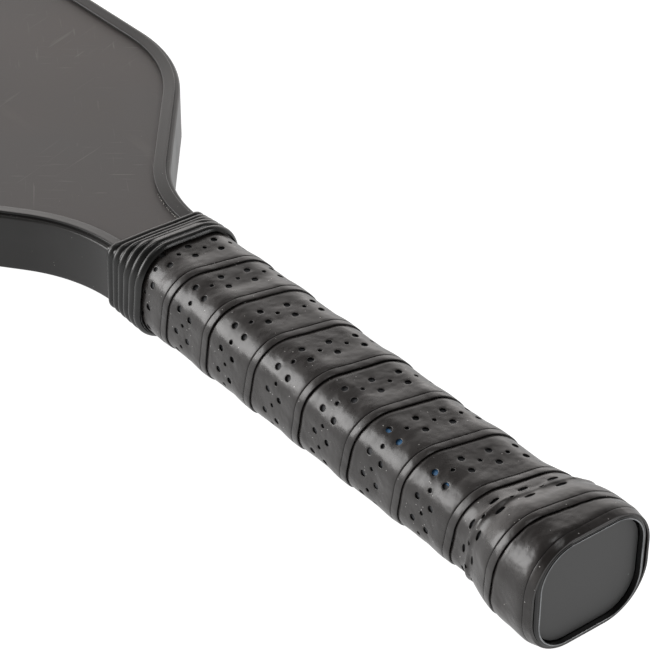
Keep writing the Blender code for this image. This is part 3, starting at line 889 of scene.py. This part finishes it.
def dress_nodes():
    """Give every node that stays its own material."""
    face = face_material()
    core = plain_material("core_white", (0.62, 0.62, 0.58), (0.72, 0.72, 0.69), 0.5, 60.0, 0.0001)
    film = plain_material("bond_film", (0.10, 0.12, 0.11), (0.16, 0.18, 0.17), 0.4, 80.0, 0.00005)
    foam = plain_material("pallet_foam", (0.34, 0.32, 0.28), (0.42, 0.40, 0.36), 0.8, 300.0, 0.0002)
    blue = plain_material("tape_blue", (0.04, 0.14, 0.30), (0.06, 0.18, 0.36), 0.35, 150.0, 0.00003)
    paper = plain_material("edge_tape", (0.42, 0.38, 0.30), (0.52, 0.48, 0.40), 0.7, 200.0, 0.00005)
    vinyl = plain_material("finish_vinyl", (0.012, 0.012, 0.012), (0.02, 0.02, 0.02), 0.35, 120.0,
                           0.00004)
    pad = plain_material("pad_foam", (0.55, 0.52, 0.44), (0.64, 0.61, 0.54), 0.7, 250.0, 0.00008)
    steel = plain_material("staple_steel", (0.50, 0.50, 0.48), (0.62, 0.62, 0.60), 0.35, 400.0, 0.00002)
    steel.node_tree.nodes["Principled BSDF"].inputs["Metallic"].default_value = 1.0
    looks = {
        "upper_face_sheet": face, "lower_face_sheet": face, "honeycomb_core": core,
        "upper_bond_film": film, "lower_bond_film": film, "edge_guard_tape": paper,
        "upper_handle_pallet": foam, "lower_handle_pallet": foam, "handle_tape": blue,
        "finishing_tape": vinyl, "butt_plate": plate_material(),
        "butt_plate_pad": pad,
    }
    for number in range(1, 5):
        looks["butt_cap_staple_%d" % number] = steel
    for name, mat in looks.items():
        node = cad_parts[name]
        node.data.materials.clear()
        node.data.materials.append(mat)


# Stage


def build_stage():
    """A plain white floor, a soft studio and the camera."""
    floor_z = CAD_BOX[0][2] - 0.0004
    mesh = mesh_from("floor", [(-3, -3, floor_z), (3, -3, floor_z), (3, 3, floor_z), (-3, 3, floor_z)],
                     [(0, 1, 2, 3)])
    n = Nodes("floor_white")
    n.link(n.mix(n.noise(3.0, 2.0), (0.30, 0.30, 0.30), (0.32, 0.32, 0.32)), "Base Color")
    n.shader.inputs["Roughness"].default_value = 0.9
    n.shader.inputs["Specular IOR Level"].default_value = 0.1
    n.shader.inputs["Emission Color"].default_value = (1.0, 1.0, 1.0, 1.0)
    seen = n.add("ShaderNodeLightPath").outputs["Is Camera Ray"]
    n.link(n.ramp(seen, 0.0, 1.0, 0.72, 1.0), "Emission Strength")
    mesh.materials.append(n.mat)
    floor = bpy.data.objects.new("floor", mesh)
    bpy.context.scene.collection.objects.link(floor)

    build_world()
    for name, place, size, power in SOFTBOXES:
        add_light(name, place, size, power)

    back = Vector((sin(CAMERA_AZIMUTH) * cos(CAMERA_ELEVATION),
                   -cos(CAMERA_AZIMUTH) * cos(CAMERA_ELEVATION), sin(CAMERA_ELEVATION)))
    data = bpy.data.cameras.new("camera")
    data.lens = CAMERA_LENS
    data.sensor_width = 36.0
    data.clip_start = 0.01
    camera = bpy.data.objects.new("camera", data)
    bpy.context.scene.collection.objects.link(camera)
    turn = Matrix.Rotation(CAMERA_AZIMUTH, 4, "Z") @ Matrix.Rotation(pi / 2 - CAMERA_ELEVATION, 4, "X")
    place = Matrix.Translation(CAMERA_AIM + back * CAMERA_DISTANCE)
    camera.matrix_world = place @ turn @ Matrix.Rotation(CAMERA_ROLL, 4, "Z")
    bpy.context.scene.camera = camera
    bpy.context.scene.view_settings.view_transform = "Standard"


def build_world():
    """A studio that is bright low down at the back and dim overhead and in front."""
    world = bpy.data.worlds.new("studio")
    world.use_nodes = True
    bpy.context.scene.world = world
    tree = world.node_tree
    place = tree.nodes.new("ShaderNodeTexCoord").outputs["Generated"]
    parts = tree.nodes.new("ShaderNodeSeparateXYZ")
    tree.links.new(place, parts.inputs[0])

    def ramp(source, low, high, first, last):
        """Map a range of a value smoothly on to another range."""
        node = tree.nodes.new("ShaderNodeMapRange")
        node.interpolation_type = "SMOOTHSTEP"
        tree.links.new(source, node.inputs["Value"])
        node.inputs["From Min"].default_value = low
        node.inputs["From Max"].default_value = high
        node.inputs["To Min"].default_value = first
        node.inputs["To Max"].default_value = last
        return node.outputs["Result"]

    def times(first, second):
        """Multiply two values."""
        node = tree.nodes.new("ShaderNodeMath")
        node.operation = "MULTIPLY"
        tree.links.new(first, node.inputs[0])
        tree.links.new(second, node.inputs[1])
        return node.outputs[0]

    low = ramp(parts.outputs["Z"], 0.10, 0.62, 2.1, 0.95)
    high = ramp(parts.outputs["Z"], 0.57, 0.75, 1.0, 0.24)
    depth = ramp(parts.outputs["Y"], -0.3, 0.6, 0.18, 1.0)
    background = tree.nodes["Background"]
    background.inputs["Color"].default_value = (1.0, 0.965, 0.945, 1.0)
    tree.links.new(times(times(low, high), depth), background.inputs["Strength"])
    plain = tree.nodes.new("ShaderNodeBackground")
    choice = tree.nodes.new("ShaderNodeMixShader")
    seen = tree.nodes.new("ShaderNodeLightPath").outputs["Is Camera Ray"]
    tree.links.new(seen, choice.inputs["Fac"])
    tree.links.new(background.outputs[0], choice.inputs[1])
    tree.links.new(plain.outputs[0], choice.inputs[2])
    tree.links.new(choice.outputs[0], tree.nodes["World Output"].inputs["Surface"])
    plain.inputs["Color"].default_value = (1.0, 1.0, 1.0, 1.0)


def add_light(name, place, size, power):
    """A square softbox aimed at the paddle."""
    data = bpy.data.lights.new(name, "AREA")
    data.size = size
    data.energy = power
    light = bpy.data.objects.new(name, data)
    light.location = place
    light.rotation_euler = (-Vector(place)).to_track_quat("-Z", "Y").to_euler()
    bpy.context.scene.collection.objects.link(light)


build_stage()
dress_nodes()
build_guard()
build_glue()
build_wrap(wrap_material())
build_backing()
build_liner()
build_collar()
build_cap()
